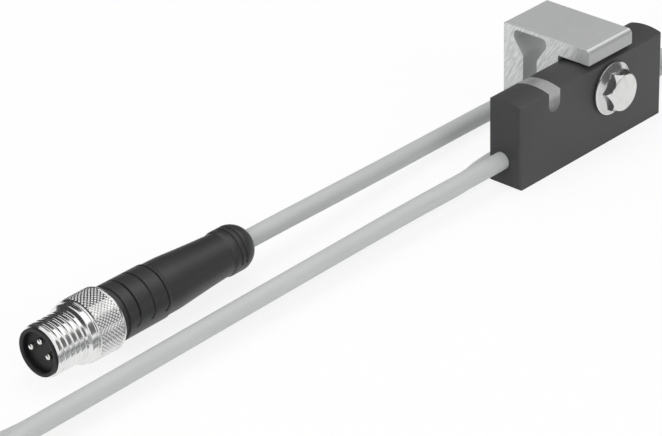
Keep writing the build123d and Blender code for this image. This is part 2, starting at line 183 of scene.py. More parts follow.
class Graph:
    """A node tree that is being put together."""

    def __init__(self, tree: NodeTree) -> None:
        """Keep the tree."""
        self.tree = tree

    def add(
        self, kind: str, settings: dict | None = None, inputs: dict | None = None,
        output: int | str = 0,
    ) -> Wire:
        """Add any node.

        Args:
            kind: the node's type.
            settings: its properties, set before its sockets.
            inputs: socket name or index to a value or a Wire.
            output: name or index of the output to hand back.

        Returns:
            The chosen output.
        """
        node = self.tree.nodes.new(kind)
        for key, value in (settings or {}).items():
            setattr(node, key, value)
        for key, value in (inputs or {}).items():
            if isinstance(value, Wire):
                self.tree.links.new(value.socket, node.inputs[key])
            else:
                node.inputs[key].default_value = value
        return Wire(self, node.outputs[output] if node.outputs else None)

    def math(self, operation: str, *values: Value) -> Wire:
        """Add one Math node."""
        return self.add("ShaderNodeMath", {"operation": operation}, dict(enumerate(values)))

    def vector(self, operation: str, *values: Value) -> Wire:
        """Add one Vector Math node."""
        return self.add("ShaderNodeVectorMath", {"operation": operation}, dict(enumerate(values)))

    def mix(self, factor: Value, first: Colour | Wire, second: Colour | Wire) -> Wire:
        """Mix two colours, all of the first at factor 0 and of the second at 1."""
        inputs = {0: factor, 6: opaque(first), 7: opaque(second)}
        return self.add("ShaderNodeMix", {"data_type": "RGBA"}, inputs, 2)

    def place(self) -> Wire:
        """Object coordinates, whose node has the surface's Normal as another output."""
        return self.add("ShaderNodeTexCoord", output="Object")

    def noise(self, where: Wire, size: float, detail: float, distortion: float = 0.0) -> Wire:
        """Noise around one half, whose features are about size metres across."""
        inputs = {"Vector": where, "Scale": 1 / size, "Detail": detail, "Distortion": distortion}
        return self.add("ShaderNodeTexNoise", None, inputs)

    def stretch(self, where: Wire, scale: Sequence[float], turn: Sequence[float] = (0, 0, 0)) -> Wire:
        """Coordinates turned, then scaled along each axis, to draw a pattern out."""
        turned = self.add("ShaderNodeMapping", None, {"Vector": where, "Rotation": turn})
        return self.add("ShaderNodeMapping", None, {"Vector": turned, "Scale": scale})

    def parts(self, where: Wire) -> tuple[Wire, Wire, Wire]:
        """The three numbers of a vector."""
        split = self.add("ShaderNodeSeparateXYZ", None, {0: where})
        return split, split.out("Y"), split.out("Z")

    def hollow(self) -> Wire:
        """How deep the surface is cut at a place, from 0 to 1, as its mesh keeps it."""
        return self.add("ShaderNodeAttribute", {"attribute_name": "hollow"}, output="Fac")

    def bump(self, height: Wire, depth: float) -> Wire:
        """Bump from a height of 0 to 1 that stands for depth metres."""
        return self.add("ShaderNodeBump", None, {"Height": height, "Distance": depth})

    def surface(self, **sockets: Value) -> None:
        """Add the surface shader and the material's output.

        Args:
            sockets: the shader's sockets by name, with _ for a space.
        """
        inputs = {name.replace("_", " "): value for name, value in sockets.items()}
        shader = self.add("ShaderNodeBsdfPrincipled", None, inputs)
        self.add("ShaderNodeOutputMaterial", None, {"Surface": shader})


def shaded(name: str) -> tuple[Material, Graph]:
    """A new material and its tree, which is empty.

    Args:
        name: the material's name.

    Returns:
        The material and its tree.
    """
    material = bpy.data.materials.new(name)
    material.use_nodes = True
    material.node_tree.nodes.clear()
    return material, Graph(material.node_tree)


@dataclass(frozen=True)
class Moulded:
    """Injection-moulded plastic: an eroded grain, faint flow marks, slightly uneven gloss.

    The tones paint shade into the colour: darker grooves that the mesh keeps, darker faces that
    point along X, and a darker recess of this radius round an axis along X through the centre.
    """

    name: str
    colour: Colour
    roughness: float = 0.5
    grain: float = 0.16 * MM
    relief: float = 0.006 * MM
    flow_size: float = 5 * MM
    mottle: float = 0.05
    specular: float = 0.4
    groove: float = 0.0
    groove_shade_tone: float = 0.12
    end_shade_tone: float = 1.0
    shaded_well: float = 0.0
    well_shade_tone: float = 0.85
    centre: Place = (0.0, 0.0, 0.0)

    def make(self) -> Material:
        """Build the material.

        Returns:
            The material.
        """
        material, graph = shaded(self.name)
        where = graph.place()
        flow = graph.noise(graph.stretch(where, (0.35, 1, 1)), self.flow_size, 3)
        grain = graph.noise(where, self.grain, 2)
        specks = graph.add("ShaderNodeTexVoronoi", None, {"Vector": where, "Scale": 1 / (3 * self.grain)})
        dark, light = scaled(self.colour, 1 - self.mottle * 2), scaled(self.colour, 1 + self.mottle * 2)
        colour = graph.mix(flow, dark, light)
        # Painted shade: darker in the grooves, by how deep the mesh keeps them cut.
        if self.groove:
            colour = graph.mix(self.groove * graph.hollow(), colour, scaled(self.colour, self.groove_shade_tone))
        # Painted shade: faces that point along X are darker.
        if self.end_shade_tone != 1.0:
            facing = graph.parts(where.out("Normal"))[0]
            colour = graph.mix(abs(facing).step(0.8, 0.95), colour, scaled(self.colour, self.end_shade_tone))
        # Painted shade: darker inside the recess round the centre.
        if self.shaded_well:
            _, y, z = graph.parts(graph.vector("SUBTRACT", where, self.centre))
            colour = graph.mix(from_axis(y, z) < self.shaded_well, colour, scaled(self.colour, self.well_shade_tone))
        graph.surface(
            Base_Color=colour,
            Roughness=self.roughness + 0.10 * (flow - 0.5) + 0.12 * (grain - 0.5),
            Specular_IOR_Level=self.specular,
            Normal=graph.bump(0.7 * grain + 0.3 * specks, self.relief),
        )
        return material


@dataclass(frozen=True)
class Jacket:
    """Extruded cable jacket: soft sheen, faint mottling drawn out along X and light scuffs."""

    name: str
    colour: Colour
    roughness: float = 0.48
    relief: float = 0.012 * MM
    mottle_size: float = 3 * MM
    scuff_size: float = 0.5 * MM
    grain: float = 0.25 * MM

    def make(self) -> Material:
        """Build the material.

        Returns:
            The material.
        """
        material, graph = shaded(self.name)
        where = graph.place()
        broad = graph.noise(graph.stretch(where, (0.25, 1, 1)), self.mottle_size, 3)
        fine = graph.noise(where, self.grain, 3)
        scuff = graph.noise(graph.stretch(where, (0.08, 1, 1)), self.scuff_size, 4).step(0.60, 0.74)
        colour = graph.mix(broad, scaled(self.colour, 0.94), scaled(self.colour, 1.05))
        graph.surface(
            Base_Color=graph.mix(0.35 * scuff, colour, scaled(self.colour, 0.86)),
            Roughness=self.roughness + 0.12 * (fine - 0.5) + 0.08 * scuff,
            Specular_IOR_Level=0.35,
            Normal=graph.bump(0.8 * fine + 0.2 * broad, self.relief),
        )
        return material


@dataclass(frozen=True)
class SawnExtrusion:
    """Extruded and blasted aluminium whose two sawn ends show the blade's slanting lines."""

    name: str
    colour: Colour
    sawn: Colour
    relief: float = 0.010 * MM
    blast_size: float = 0.11 * MM
    draw_size: float = 0.16 * MM
    cloud_size: float = 2.5 * MM
    stroke_size: float = 0.20 * MM
    stroke_ratio: float = 3.2
    slant: float = math.radians(-31)
    slot: float = 8.68 * MM
    slot_half: float = 3.3 * MM
    slot_roof: float = 16.4 * MM

    def make(self) -> Material:
        """Build the material.

        Returns:
            The material.
        """
        material, graph = shaded(self.name)
        where = graph.place()
        ends = abs(graph.parts(where.out("Normal"))[0]).step(0.85, 0.95)
        blasted = graph.noise(where, self.blast_size, 3)
        drawn = graph.noise(graph.stretch(where, (0.02, 1, 1)), self.draw_size, 3)
        turned = graph.stretch(where, (0.0, 1, 0.07), (self.slant, 0, 0))
        strokes = graph.noise(turned, self.stroke_size, 4, 0.1)
        fine_strokes = graph.noise(turned, self.stroke_size / self.stroke_ratio, 2)
        cut = 0.65 * strokes + 0.35 * fine_strokes
        saw = graph.mix(cut.step(0.38, 0.60), scaled(self.sawn, 0.73), scaled(self.sawn, 1.11))
        # Painted shade: the sawn end is darker over the flange, towards the front.
        flange = 1 - (graph.parts(where)[1] / MM).step(-1.2, 1.0)
        saw = graph.mix(0.55 * flange, saw, scaled(self.sawn, 0.5))
        relief = (0.5 * blasted + 0.5 * drawn) * (1 - ends) + 2.2 * cut * ends
        graph.surface(
            Base_Color=graph.mix(ends, self._skin(graph, where, drawn), saw),
            Metallic=0.32 - 0.04 * ends,
            Roughness=0.38 + 0.10 * (blasted - 0.5) - 0.02 * ends + 0.12 * (cut - 0.5) * ends,
            Normal=graph.bump(relief, self.relief),
        )
        return material

    def _skin(self, graph: Graph, where: Wire, drawn: Wire) -> Wire:
        """The extruded skin, with painted light: painted shade on the front, a painted highlight along
        the rounded edge above it, and painted light inside the slot, lighter deeper in.

        Args:
            graph: the material's tree.
            where: object coordinates.
            drawn: noise drawn out along the extrusion.

        Returns:
            Its colour.
        """
        cloud = graph.noise(where, self.cloud_size, 3)
        skin = graph.mix(cloud, scaled(self.colour, 0.95), scaled(self.colour, 1.05))
        skin = graph.mix(0.25 * drawn.step(0.45, 0.7), skin, scaled(self.colour, 1.12))
        # Painted shade: faces that point to the front are darker.
        front = -graph.parts(where.out("Normal"))[1]
        skin = graph.mix(front.step(0.5, 0.85), skin, scaled(self.colour, 0.70))
        # Painted highlight: a light line along the rounded edge between the top and the front.
        nose_highlight = front.step(0.06, 0.22) * (1 - front.step(0.3, 0.55))
        skin = graph.mix(0.9 * nose_highlight, skin, scaled(self.colour, 1.6))
        along, across, up = graph.parts(where)
        # Painted light: the slot's inside is lighter, more so deeper in along X.
        inner = (abs(across - self.slot) < self.slot_half) * (up < self.slot_roof)
        deep = (along / MM).step(-0.8, 6.0)
        return graph.mix(inner, skin, graph.mix(deep, scaled(self.colour, 1.1), scaled(self.colour, 1.7)))


@dataclass(frozen=True)
class Plated:
    """Bright nickel plate: turned marks round an axis, light stains, fine scratches, and painted
    shade in the hollows that the mesh keeps.
    """

    name: str
    colour: Colour = (0.71, 0.71, 0.705)
    roughness: float = 0.17
    turned: Turning = Turning.AGAINST_Y
    centre: Place = (0.0, 0.0, 0.0)
    ring_size: float = 0.10 * MM
    ring_depth: float = 0.0015 * MM
    stain_size: float = 1.6 * MM
    scratch_size: float = 0.12 * MM
    groove: float = 0.0

    def make(self) -> Material:
        """Build the material.

        Returns:
            The material.
        """
        material, graph = shaded(self.name)
        where = graph.place()
        x, y, z = graph.parts(graph.vector("SUBTRACT", where, self.centre))
        level, along = (y, x) if self.turned is Turning.ALONG_X else (x, y)
        unrolled = graph.add("ShaderNodeCombineXYZ", None, {"X": from_axis(level, z), "Y": along})
        rings = graph.noise(unrolled, self.ring_size, 3)
        stain = graph.noise(where, self.stain_size, 4).step(0.42, 0.72)
        slanting = graph.stretch(where, (1, 0.12, 1), (0.4, 0.3, 0.9))
        scratches = graph.noise(slanting, self.scratch_size, 2).step(0.62, 0.70)
        colour = graph.mix(0.35 * stain, self.colour, scaled(self.colour, 0.82))
        # Painted shade: darker where the mesh keeps a hollow.
        if self.groove:
            colour = graph.mix(self.groove * graph.hollow(), colour, scaled(self.colour, 0.16))
        rough = self.roughness + 0.10 * stain + 0.10 * scratches + 0.08 * (rings - 0.5)
        graph.surface(
            Base_Color=colour,
            Metallic=1.0,
            Roughness=rough.larger(0.06),
            Normal=graph.bump(rings + 0.3 * scratches, self.ring_depth),
        )
        return material


@dataclass(frozen=True)
class ClearPlastic:
    """Clear light guide over a dark housing: smoky and glossy, paler towards the top as painted
    light, with a painted highlight on its top front.
    """

    name: str
    colour: Colour
    # Lighter colour that the painted light and the painted highlight mix towards.
    edge: Colour
    top: float = 14.1 * MM
    haze_size: float = 1.4 * MM
    relief: float = 0.004 * MM

    def make(self) -> Material:
        """Build the material.

        Returns:
            The material.
        """
        material, graph = shaded(self.name)
        where = graph.place()
        _, back, up = graph.parts(where)
        height = up / self.top
        haze = graph.noise(where, self.haze_size, 3)
        # Painted highlight on the top front.
        front = (-back / MM).step(-1.5, 1.8) * height.step(0.88, 0.95)
        # Painted light: paler towards the top, mixed with the random haze.
        pale = 0.7 * height.step(0.70, 0.95) + 0.55 * (haze - 0.3)
        colour = graph.mix(pale, self.colour, self.edge)
        graph.surface(
            Base_Color=graph.mix(0.6 * front, colour, scaled(self.edge, 1.45)),
            Roughness=0.20 + 0.12 * haze,
            Coat_Weight=0.25,
            Coat_Roughness=0.08,
            Specular_IOR_Level=0.35,
            Normal=graph.bump(haze, self.relief),
        )
        return material


@dataclass(frozen=True)
class PlainPart:
    """A small inner part: one base finish with a fine mottle."""

    name: str
    colour: Colour
    metallic: float = 0.0
    roughness: float = 0.45
    mottle_size: float = 0.2 * MM
    relief: float = 0.004 * MM

    def make(self) -> Material:
        """Build the material.

        Returns:
            The material.
        """
        material, graph = shaded(self.name)
        fine = graph.noise(graph.place(), self.mottle_size, 3)
        graph.surface(
            Base_Color=graph.mix(fine, scaled(self.colour, 0.85), scaled(self.colour, 1.15)),
            Metallic=self.metallic,
            Roughness=self.roughness + 0.2 * (fine - 0.5),
            Normal=graph.bump(fine, self.relief),
        )
        return material


def geometry_tree(
    name: str, numbers: dict[str, float], centre: Place
) -> tuple[Graph, Wire, Wire, Wire, Wire]:
    """A new geometry tree with named inputs, and each point's place from its centre.

    Args:
        name: the tree's name.
        numbers: named number inputs and their defaults.
        centre: default of its vector input, Centre.

    Returns:
        The tree, its group input, and the X, Y and Z of each point from the centre.
    """
    tree = bpy.data.node_groups.new(name, "GeometryNodeTree")
    sockets = [("Geometry", "OUTPUT", "Geometry", None), ("Geometry", "INPUT", "Geometry", None)]
    sockets += [(key, "INPUT", "Float", value) for key, value in numbers.items()]
    sockets += [("Centre", "INPUT", "Vector", centre), ("Material", "INPUT", "Material", None)]
    for label, way, kind, default in sockets:
        socket = tree.interface.new_socket(label, in_out=way, socket_type=f"NodeSocket{kind}")
        if default is not None:
            socket.default_value = default
    graph = Graph(tree)
    given = graph.add("NodeGroupInput")
    away = graph.vector("SUBTRACT", graph.add("GeometryNodeInputPosition"), given.out("Centre"))
    return (graph, given, *graph.parts(away))


def close_geometry(graph: Graph, given: Wire, moved: Sequence[Wire], depth: Wire) -> None:
    """Move the surface, keep how deep it is cut, and add the tree's closing nodes.

    Args:
        graph: the tree.
        given: its group input.
        moved: new X, Y and Z of each point from the centre.
        depth: how deep each point is cut, from 0 to 1.
    """
    kept = graph.add(
        "GeometryNodeStoreNamedAttribute", {"data_type": "FLOAT", "domain": "POINT"},
        {"Geometry": given.out("Geometry"), "Name": "hollow", "Value": depth.held()},
    )
    place = graph.add("ShaderNodeCombineXYZ", None, dict(zip("XYZ", moved)))
    back = graph.vector("ADD", place, given.out("Centre"))
    shape = graph.add("GeometryNodeSetPosition", None, {"Geometry": kept, "Position": back})
    whole = graph.add("GeometryNodeRealizeInstances", None, {"Geometry": shape})
    coat = {"Geometry": whole, "Material": given.out("Material")}
    graph.add("NodeGroupOutput", None, {"Geometry": graph.add("GeometryNodeSetMaterial", None, coat)})


def put(name: str, data: ID) -> Object:
    """A new object in the scene.

    Args:
        name: its name.
        data: its mesh, curve, lamp or camera.

    Returns:
        The object.
    """
    item = bpy.data.objects.new(name, data)
    bpy.context.scene.collection.objects.link(item)
    return item


def grown(graph: Graph, base: Mesh, material: Material, sharp: float) -> Mesh:
    """Run a geometry tree on a mesh and keep the result.

    Args:
        graph: the tree.
        base: mesh that it starts from.
        material: what the tree coats it with.
        sharp: angle in degrees from which an edge is shaded sharp.

    Returns:
        The finished mesh, with the name of its base.
    """
    carrier = put(f"{base.name}_base", base)
    modifier = carrier.modifiers.new("shape", "NODES")
    modifier.node_group = graph.tree
    for item in graph.tree.interface.items_tree:
        if item.name == "Material":
            modifier[item.identifier] = material
    carrier.update_tag()
    state = bpy.context.evaluated_depsgraph_get()
    result = bpy.data.meshes.new_from_object(carrier.evaluated_get(state), depsgraph=state)
    carrier.modifiers.clear()
    bpy.data.objects.remove(carrier)
    result.name = base.name
    result.shade_smooth()
    result.set_sharp_from_angle(angle=math.radians(sharp))
    return result


def lathe(
    name: str, profile: Profile, centre: Place, segments: int,
    way: Turning = Turning.ALONG_X, start: float = 0.0,
) -> Mesh:
    """Closed body turned from a closed profile.

    Args:
        name: the mesh's name.
        profile: (station, radius) points in millimetres, without a repeated end.
        centre: where station zero lies on the axis, in metres.
        segments: divisions round the axis.
        way: direction of the axis.
        start: angle of the first division.

    Returns:
        The mesh.
    """
    axis, level = way.value
    corners, faces = [], []
    for turn in range(segments):
        angle = start + 2 * math.pi * turn / segments
        outward = math.cos(angle) * level + math.sin(angle) * Vector((0, 0, 1))
        for station, radius in profile:
            corners.append(Vector(centre) + station * MM * axis + radius * MM * outward)
    count = len(profile)
    for turn in range(segments):
        here, there = turn * count, (turn + 1) % segments * count
        for row in range(count):
            after = (row + 1) % count
            faces.append((here + row, there + row, there + after, here + after))
    mesh = bpy.data.meshes.new(name)
    mesh.from_pydata(corners, [], faces)
    shape = bmesh.new()
    shape.from_mesh(mesh)
    on_axis = [corner for corner in shape.verts if (corner.co - Vector(centre)).cross(axis).length < 1e-7]
    bmesh.ops.remove_doubles(shape, verts=on_axis, dist=1e-6)
    stray = [edge for edge in shape.edges if not edge.link_faces]
    bmesh.ops.delete(shape, geom=stray, context="EDGES")
    bmesh.ops.recalc_face_normals(shape, faces=shape.faces)
    shape.to_mesh(mesh)
    shape.free()
    return mesh


def evenly(points: Profile, longest: float) -> Profile:
    """A line of (station, radius) points with even steps between the given ones.

    Args:
        points: the line's corners.
        longest: how long a step may be.

    Returns:
        The corners with the points between them.
    """
    line = [points[0]]
    for (s0, r0), (s1, r1) in zip(points, points[1:]):
        steps = max(1, math.ceil(math.hypot(s1 - s0, r1 - r0) / longest - 1e-6))
        for step in range(1, steps + 1):
            line.append((s0 + (s1 - s0) * step / steps, r0 + (r1 - r0) * step / steps))
    return line


def dress(node: str, material: Material) -> None:
    """Give a CAD node a material in place of its plain one.

    Args:
        node: the node's name.
        material: its new material.
    """
    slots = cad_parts[node].data.materials
    slots.clear()
    slots.append(material)
    LOG.info("%s: dressed in %s", node, material.name)


def new_piece(name: str, mesh: Mesh, body: str, nodes: Iterable[str]) -> None:
    """Put a finished mesh into the scene as a piece.

    Args:
        name: the piece's name.
        mesh: its mesh, in the row frame.
        body: CAD body that it rides on.
        nodes: CAD nodes that it stands for.
    """
    piece = put(name, mesh)
    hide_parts(*nodes)
    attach(piece, body)
    LOG.info("%s: %d faces, rides on %s", name, len(mesh.polygons), body)


def softened(node: str, name: str, width: Roundings, material: Material) -> None:
    """Put in a copy of one of the switch's CAD nodes with its sharp edges rounded.

    Args:
        node: the node that it is made from and stands for.
        name: the piece's name.
        width: how wide the roundings are.
        material: its material.
    """
    weld = 0.0005 * MM
    flat, corner, crease = (math.radians(angle) for angle in (0.4, 38, 20))
    shape = bmesh.new()
    shape.from_mesh(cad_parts[node].data)
    bmesh.ops.remove_doubles(shape, verts=shape.verts, dist=weld)
    bmesh.ops.dissolve_limit(shape, angle_limit=flat, verts=shape.verts, edges=shape.edges)
    joined = [edge for edge in shape.edges if len(edge.link_faces) == 2]
    bmesh.ops.bevel(
        shape, geom=[edge for edge in joined if edge.calc_face_angle(0) > corner],
        offset=width.value, offset_type="OFFSET", segments=2, profile=0.5, affect="EDGES",
        clamp_overlap=True,
    )
    bmesh.ops.recalc_face_normals(shape, faces=shape.faces)
    mesh = bpy.data.meshes.new(name)
    shape.to_mesh(mesh)
    shape.free()
    mesh.shade_smooth()
    mesh.set_sharp_from_angle(angle=crease)
    mesh.materials.clear()
    mesh.materials.append(material)
    new_piece(name, mesh, "switch", [node])


@dataclass
class Cable:
    """The loose cable, one smooth line from the housing to the plug."""

    radius: float = 1.45 * MM
    exit: Place = (-17.5 * MM, 0.6 * MM, 4.1 * MM)
    free_length: float = 0.538

    def build(self) -> None:
        curve = bpy.data.curves.new("cable_jacket", "CURVE")
        curve.dimensions = "3D"
        spline = curve.splines.new("NURBS")
        spline.points.add(len(ROUTE_MM) - 1)
        for point, place in zip(spline.points, ROUTE_MM):
            point.co = (*(part * MM for part in place), 1)
        spline.order_u = 3
        spline.use_endpoint_u = True
        curve.bevel_depth = self.radius
        curve.bevel_resolution = 7
        curve.resolution_u = 12
        curve.materials.append(Jacket("cable_jacket", (0.515, 0.53, 0.525)).make())
        piece = put("cable_jacket", curve)
        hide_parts("cable")
        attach(piece, "switch")
        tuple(self.exit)
        LOG.info("cable_jacket: %d route points, rides on switch", len(ROUTE_MM))


@dataclass
class Camera:
    """The photograph's camera."""

    place: Place = (-0.37277, -0.29183, 0.24311)
    heading: float = math.radians(47.28)
    dip: float = math.radians(28.38)
    roll: float = math.radians(-1.44)
    lens: float = 184.9
    sensor: float = 36.0
    clip: tuple[float, float] = (0.01, 10.0)

    def build(self) -> None:
        """Add the camera and make it the scene's own."""
        forward = Vector((
            math.sin(self.heading) * math.cos(self.dip),
            math.cos(self.heading) * math.cos(self.dip),
            -math.sin(self.dip),
        ))
        level = Vector((math.cos(self.heading), -math.sin(self.heading), 0))
        upright = level.cross(forward)
        right = math.cos(self.roll) * level + math.sin(self.roll) * upright
        up = math.cos(self.roll) * upright - math.sin(self.roll) * level
        data = bpy.data.cameras.new("camera")
        data.lens = self.lens
        data.sensor_width = self.sensor
        data.sensor_fit = "HORIZONTAL"
        data.clip_start, data.clip_end = self.clip
        camera = put("camera", data)
        turn = Matrix((right, up, -forward)).transposed().to_4x4()
        camera.matrix_world = Matrix.Translation(Vector(self.place)) @ turn
        bpy.context.scene.camera = camera


@dataclass(frozen=True)
class Lamp:
    """A square soft lamp that faces the middle of the object and doesn't show in gloss."""

    name: str
    place: Place
    size: float
    power: float
    aim: Place = (-0.04, 0.0, 0.0)

    def build(self) -> None:
        """Add the lamp."""
        data = bpy.data.lights.new(self.name, "AREA")
        data.size = self.size
        data.energy = self.power
        lamp = put(self.name, data)
        lamp.visible_glossy = False
        lamp.location = self.place
        lamp.rotation_mode = "QUATERNION"
        lamp.rotation_quaternion = (Vector(self.aim) - lamp.location).to_track_quat("-Z", "Y")


@dataclass(frozen=True)
class Screen:
    """A curved upright screen round the object, seen by glossy rays alone.

    It runs from one bearing to another, counted from +X towards +Y, and stands from one rise
    to another as seen from the object, all in degrees.
    """

    name: str
    bearing: tuple[float, float]
    rise: tuple[float, float]
    colour: Colour
    reach: float = 0.95
    steps: int = 24

    def build(self) -> None:
        first, last = self.bearing
        corners = []
        for step in range(self.steps + 1):
            turn = math.radians(first + (last - first) * step / self.steps)
            for edge in self.rise:
                height = self.reach * math.tan(math.radians(edge))
                corners.append((self.reach * math.cos(turn), self.reach * math.sin(turn), height))
        faces = [(2 * step, 2 * step + 2, 2 * step + 3, 2 * step + 1) for step in range(self.steps)]
        mesh = bpy.data.meshes.new(self.name)
        mesh.from_pydata(corners, [], faces)
        material, graph = shaded(self.name)
        glow = graph.add("ShaderNodeEmission", None, {"Color": opaque(self.colour), "Strength": 1.0})
        graph.add("ShaderNodeOutputMaterial", None, {"Surface": glow})
        mesh.materials.append(material)
        screen = put(self.name, mesh)
        for rays in ("camera", "diffuse", "transmission", "shadow"):
            setattr(screen, f"visible_{rays}", False)


@dataclass
class Studio:
    """White floor, soft lamps, a pale surround and screens that only reflections show."""

    floor_size: float = 3.0
    floor_drop: float = 0.02 * MM
    shadow: float = 0.15
    surround: float = 0.60
    lamps: tuple[Lamp, ...] = (
        Lamp("key", (-0.1, -1.0, 0.55), 0.6, 2.4),
        Lamp("fill", (-1.0, 0.15, 0.45), 0.5, 2.9),
        Lamp("top", (0.1, 0.1, 1.0), 0.8, 3.5),
    )
    screens: tuple[Screen, ...] = (
        Screen("screen_behind", (4, 62), (0.5, 62), (0.06, 0.06, 0.061)),
        Screen("screen_left", (62, 194), (0.5, 47), (0.06, 0.06, 0.061)),
        Screen("screen_side", (-112, -2), (4, 40), (0.16, 0.16, 0.16)),
        Screen("screen_bright", (-75, 4), (41, 66), (1.4, 1.4, 1.4)),
    )

    def build(self) -> None:
        """Add the floor, the surround, the lamps and the screens."""
        self._floor()
        self._world()
        for item in (*self.lamps, *self.screens):
            item.build()

    @staticmethod
    def _seen(graph: Graph) -> Wire:
        """One for camera, glossy and transmission rays, else zero."""
        path = graph.add("ShaderNodeLightPath", output="Is Camera Ray")
        return path.larger(path.out("Is Glossy Ray")).larger(path.out("Is Transmission Ray"))

    def _floor(self) -> None:
        """A large plain plane under the object that shows white and keeps a faint shadow."""
        half = self.floor_size / 2
        corners = [(-half, -half, 0), (half, -half, 0), (half, half, 0), (-half, half, 0)]
        mesh = bpy.data.meshes.new("floor")
        mesh.from_pydata(corners, [], [(0, 1, 2, 3)])
        material, graph = shaded("floor")
        pale = graph.add("ShaderNodeBsdfDiffuse", None, {"Color": (0.9, 0.9, 0.9, 1)})
        white = graph.add("ShaderNodeEmission", None, {"Color": (1, 1, 1, 1), "Strength": 1.0})
        factor = self._seen(graph) * (1 - self.shadow)
        mixed = graph.add("ShaderNodeMixShader", None, {0: factor, 1: pale, 2: white})
        graph.add("ShaderNodeOutputMaterial", None, {"Surface": mixed})
        mesh.materials.append(material)
        floor = put("floor", mesh)
        floor.location.z = -self.floor_drop

    def _world(self) -> None:
        """White for what is seen, softer for what lights the object."""
        world = bpy.data.worlds.new("surround")
        world.use_nodes = True
        world.node_tree.nodes.clear()
        graph = Graph(world.node_tree)
        seen = self._seen(graph)
        strength = seen + (1 - seen) * self.surround
        back = graph.add("ShaderNodeBackground", None, {"Color": (1, 1, 1, 1), "Strength": strength})
        graph.add("ShaderNodeOutputWorld", None, {"Surface": back})
        bpy.context.scene.world = world


@dataclass
class FlangeScrew:
    """The clamp's hexagon screw: dished flange, chamfered head with a domed face, plain shank.

    Stations are in millimetres from the housing's front, outward.
    """

    seat: Place
    flats: float = 6.0
    turn: float = math.radians(-7)
    head_base: float = 1.38
    flange_top: float = 0.9
    face: float = 3.18
    dome: float = 0.36
    dome_radius: float = 2.9
    segments: int = 192
    sharp: float = 24

    def _profile(self) -> Profile:
        """Half section from the shank's tip round the flange to the middle of the head.

        Returns:
            Its (station, radius) points.
        """
        shank = [(-10.0, 0.0), (-10.0, 1.75), (-9.75, 2.0), (-0.001, 2.0)]
        rim = [
            (0.0, 4.10), (0.14, 4.20), (0.28, 4.29), (0.42, 4.345), (0.51, 4.35), (0.59, 4.32),
            (0.65, 4.25), (0.69, 4.16),
        ]
        dish = [
            (0.77, 4.02), (0.86, 3.86), (0.955, 3.70), (1.05, 3.54), (1.15, 3.38), (1.25, 3.22),
            (1.35, 3.0),
        ]
        cone = evenly([(self.head_base + 0.02, 3.60), (1.78, 3.46), (2.74, 3.05)], 0.08)
        face = [(2.82, 2.99), (2.87, 2.92)]
        for radius in (2.8, 2.65, 2.45, 2.2, 1.9, 1.5, 1.0, 0.0):
            face.append((self.face - self.dome * (radius / self.dome_radius) ** 3, radius))
        return shank + rim + dish + cone + face

    def _tree(self) -> Graph:
        """Cuts the turned head to a hexagon, and fills the flange out to its sides.

        Returns:
            The geometry tree.
        """
        graph, given, x, y, z = geometry_tree("hexagon_head", {
            "Flats": self.flats * MM, "Turn": self.turn, "Head Base": self.head_base * MM,
            "Flange Top": self.flange_top * MM,
        }, self.seat)
        station = -y
        radius = from_axis(x, z)
        sector = (z.math("ARCTAN2", x) - given.out("Turn")) * (3 / math.pi)
        local = ((sector + 12.0).math("FRACT") - 0.5) * (math.pi / 3)
        side = given.out("Flats") / 2 / local.math("COSINE")
        head = station > given.out("Head Base")
        flange = (station > given.out("Flange Top")) * (1 - head)
        wanted = radius + head * (radius.smaller(side) - radius) + flange * (radius.larger(side) - radius)
        scale = wanted / radius.larger(1e-6)
        # The dish is kept as the hollow, so that the plating paints shade into it.
        dish = (station / MM).step(0.60, 0.80) * (1 - head)
        close_geometry(graph, given, (x * scale, y, z * scale), dish)
        return graph

    def build(self, material: Material) -> None:
        """Args:
            material: its plating.
        """
        base = lathe(
            "flange_screw", self._profile(), self.seat, self.segments, Turning.AGAINST_Y, self.turn
        )
        mesh = grown(self._tree(), base, material, self.sharp)
        new_piece("flange_screw", mesh, "switch", ["clamp_screw"])


@dataclass
class SwitchHead:
    """Housing, light guide, clamp, screw and the parts inside."""

    screw: Place = (4.5 * MM, -3.1 * MM, 9.35 * MM)

    def build(self) -> None:
        """Dress the pieces that show and the inner ones."""
        # The housing's ends get painted shade.
        black = Moulded("housing_plastic", (0.055, 0.055, 0.056), roughness=0.52, end_shade_tone=0.72).make()
        softened("housing", "housing_shell", Roundings.SMALL, black)
        dress("base_cover", Moulded("cover_plastic", (0.06, 0.06, 0.062), roughness=0.6).make())
        clear = ClearPlastic("clear_plastic", (0.035, 0.0355, 0.0355), (0.30, 0.30, 0.30))
        dress("light_guide", clear.make())
        metal = SawnExtrusion("extruded_aluminium", (0.58, 0.59, 0.585), (0.68, 0.695, 0.685)).make()
        softened("clamp", "clamp_section", Roundings.FINE, metal)
        # The screw's plating paints shade into its dish.
        nickel = Plated("screw_plate", centre=self.screw, ring_depth=0.0006 * MM, groove=0.14).make()
        FlangeScrew(self.screw).build(nickel)
        finishes = {
            "screw_bush": PlainPart("bush_steel", (0.55, 0.55, 0.55), 1.0, 0.35),
            "circuit_board": PlainPart("board_laminate", (0.03, 0.17, 0.07), 0.0, 0.3),
            "status_led": PlainPart("led_body", (0.8, 0.78, 0.55), 0.0, 0.25),
            "capacitor": PlainPart("ceramic", (0.42, 0.30, 0.20)),
            "strain_relief": PlainPart("ring_metal", (0.62, 0.47, 0.22), 1.0, 0.3),
        }
        for name, shade in CORES.items():
            finishes[f"wire_{name}"] = PlainPart(f"{name}_insulation", shade)
        finishes["potting"] = PlainPart("resin", (0.05, 0.05, 0.05), 0.0, 0.3)
        for node, finish in finishes.items():
            dress(node, finish.make())
        chip = PlainPart("chip_plastic", (0.03, 0.03, 0.032)).make()
        chips = ("sensor_chip", "output_chip", "protection_diode")
        for node in (*chips, "resistor_1", "resistor_2", "resistor_3"):
            dress(node, chip)


